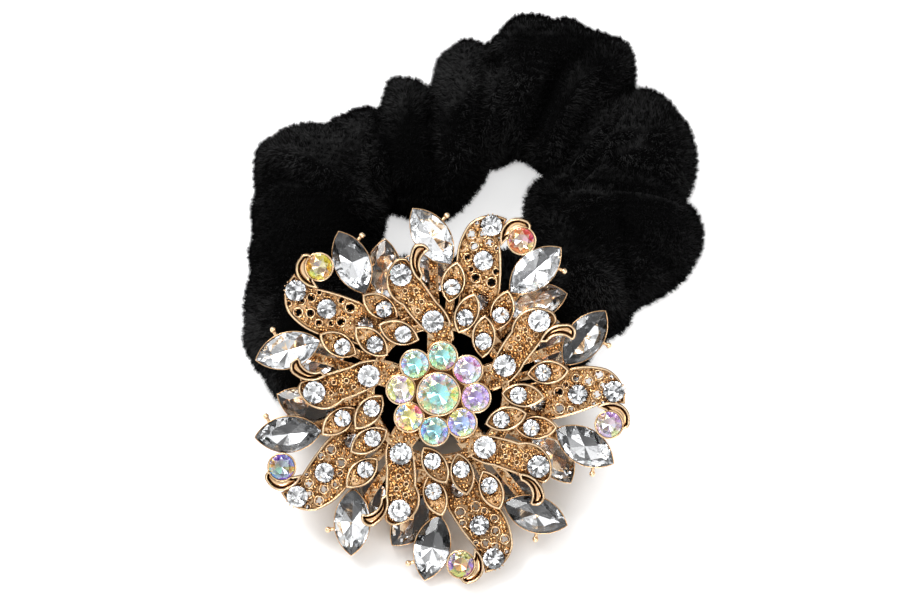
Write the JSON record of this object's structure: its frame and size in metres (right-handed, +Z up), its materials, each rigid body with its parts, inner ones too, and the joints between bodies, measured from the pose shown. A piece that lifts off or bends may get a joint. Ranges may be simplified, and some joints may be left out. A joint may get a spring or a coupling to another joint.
{
  "type": "jewelled hair tie",
  "caption": "Gathered velvet hair tie with a flower brooch of pierced gilt ribbons, leaves, marquise crystals and a cluster of iridescent stones.",
  "frame": {"origin": "on the floor, in the middle of the loop that the hair goes through", "axes": "+Z up from the floor, +Y away from the brooch, +X to the right as seen from the brooch's side"},
  "size_m": [0.0833, 0.1088, 0.0342],
  "materials": {
    "black_velvet": "plush pile",
    "elastic": "matt",
    "gilt_metal": "polished rose gilt with grained floors",
    "clear_crystal": "cut and foiled",
    "iridescent_crystal": "cut, with an iridescent coating"
  },
  "bodies": {
    "root": {"back_plate": "gilt_metal", "cluster_cups": "gilt_metal", "cluster_stone_1": "iridescent_crystal", "cluster_stone_2": "iridescent_crystal", "cluster_stone_3": "iridescent_crystal", "cluster_stone_4": "iridescent_crystal", "cluster_stone_5": "iridescent_crystal", "cluster_stone_6": "iridescent_crystal", "cluster_stone_7": "iridescent_crystal", "cluster_stone_8": "iridescent_crystal", "cluster_stone_centre": "iridescent_crystal", "curl_stone_1": "iridescent_crystal", "curl_stone_2": "iridescent_crystal", "curl_stone_3": "iridescent_crystal", "curl_stone_4": "iridescent_crystal", "curl_stone_5": "iridescent_crystal", "elastic_band": "elastic", "leaf_stones": "clear_crystal", "marquise_frame": "gilt_metal", "marquise_stone_01": "clear_crystal", "marquise_stone_02": "clear_crystal", "marquise_stone_03": "clear_crystal", "marquise_stone_04": "clear_crystal", "marquise_stone_05": "clear_crystal", "marquise_stone_06": "clear_crystal", "marquise_stone_07": "clear_crystal", "marquise_stone_08": "clear_crystal", "marquise_stone_09": "clear_crystal", "marquise_stone_10": "clear_crystal", "marquise_stone_11": "clear_crystal", "marquise_stone_12": "clear_crystal", "marquise_stone_13": "clear_crystal", "marquise_stone_14": "clear_crystal", "marquise_stone_15": "clear_crystal", "marquise_stone_16": "clear_crystal", "marquise_stone_17": "clear_crystal", "marquise_stone_18": "clear_crystal", "marquise_stone_19": "clear_crystal", "marquise_stone_20": "clear_crystal", "ribbon_frame": "gilt_metal", "ribbon_stones": "clear_crystal", "rosette_frame": "gilt_metal", "scrunchie_cover": "black_velvet"}
  },
  "joints": []
}
